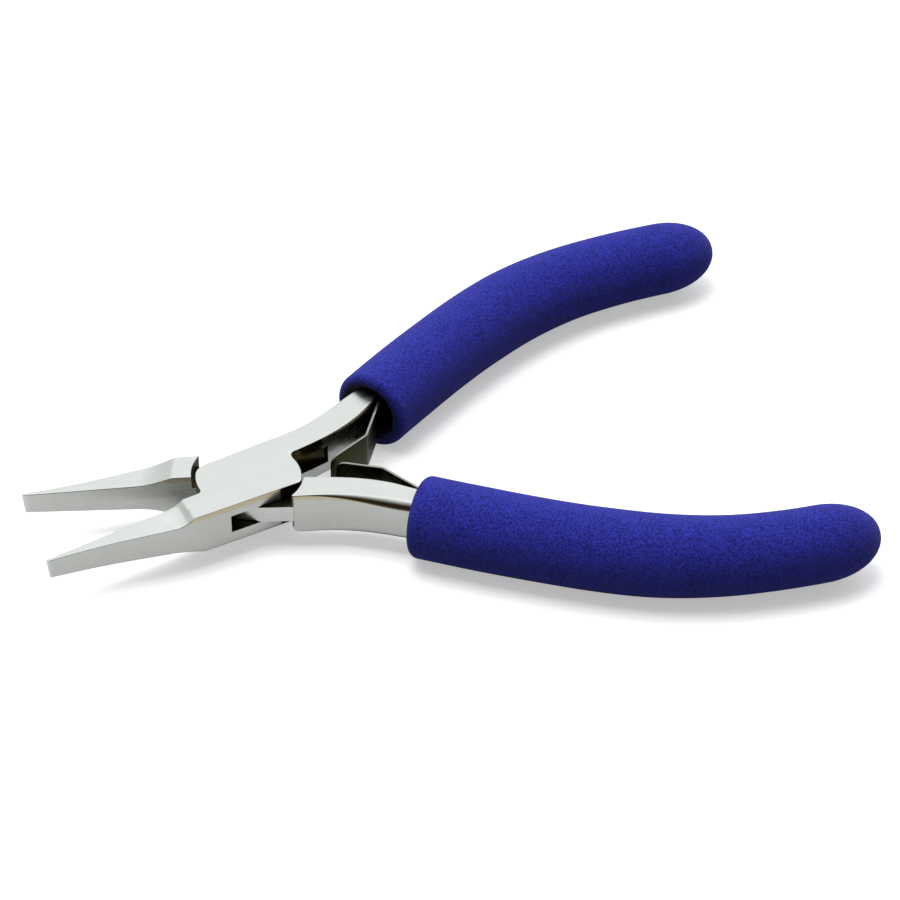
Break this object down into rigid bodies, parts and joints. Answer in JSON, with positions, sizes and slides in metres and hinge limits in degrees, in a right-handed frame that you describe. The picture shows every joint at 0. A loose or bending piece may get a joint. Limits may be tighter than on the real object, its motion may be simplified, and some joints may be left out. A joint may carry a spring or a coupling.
{
  "type": "flat nose pliers",
  "caption": "Small box-joint pliers with tapered smooth flat jaws, twin leaf return springs and thick foam sleeve grips.",
  "frame": {"origin": "on the pivot axis at the underside of the joint, on the flush end of the pivot pin", "axes": "+X from the pivot to the handles, halfway between them; +Y across the handles; +Z along the pivot axis, up through the joint"},
  "size_m": [0.1338, 0.0957, 0.0137],
  "materials": {
    "satin_steel": "satin, brushed lengthwise",
    "spring_steel": "polished spring strip",
    "blue_foam": "matt closed-cell foam"
  },
  "bodies": {
    "outer_half": {"outer_half": "satin_steel", "pivot_pin": "satin_steel", "outer_leaf_foot": "spring_steel", "outer_leaf_screw": "satin_steel", "outer_grip": "blue_foam"},
    "inner_half": {"inner_half": "satin_steel", "inner_leaf_foot": "spring_steel", "inner_leaf_screw": "satin_steel", "inner_grip": "blue_foam"},
    "outer_leaf": {"outer_leaf_blade": "spring_steel"},
    "inner_leaf": {"inner_leaf_blade": "spring_steel"}
  },
  "joints": [
    {"name": "pivot", "type": "hinge", "parent": "outer_half", "child": "inner_half", "pos_m": [0, 0, 0.00375], "axis": [0, 0, 1], "range_deg": [-5, 26.7], "stiffness_Nm_per_rad": 0.5},
    {"name": "outer_leaf_flex", "type": "hinge", "parent": "outer_half", "child": "outer_leaf", "pos_m": [0.02663, 0.01337, 0.00375], "axis": [0, 0, 1], "range_deg": [-12, 2.4]},
    {"name": "inner_leaf_flex", "type": "hinge", "parent": "inner_half", "child": "inner_leaf", "pos_m": [0.02663, -0.01337, 0.00375], "axis": [0, 0, 1], "range_deg": [-2.4, 12]}
  ],
  "couplings": [
    {"joint": "outer_leaf_flex", "follows": "pivot", "ratio": -0.445},
    {"joint": "inner_leaf_flex", "follows": "pivot", "ratio": 0.445}
  ]
}
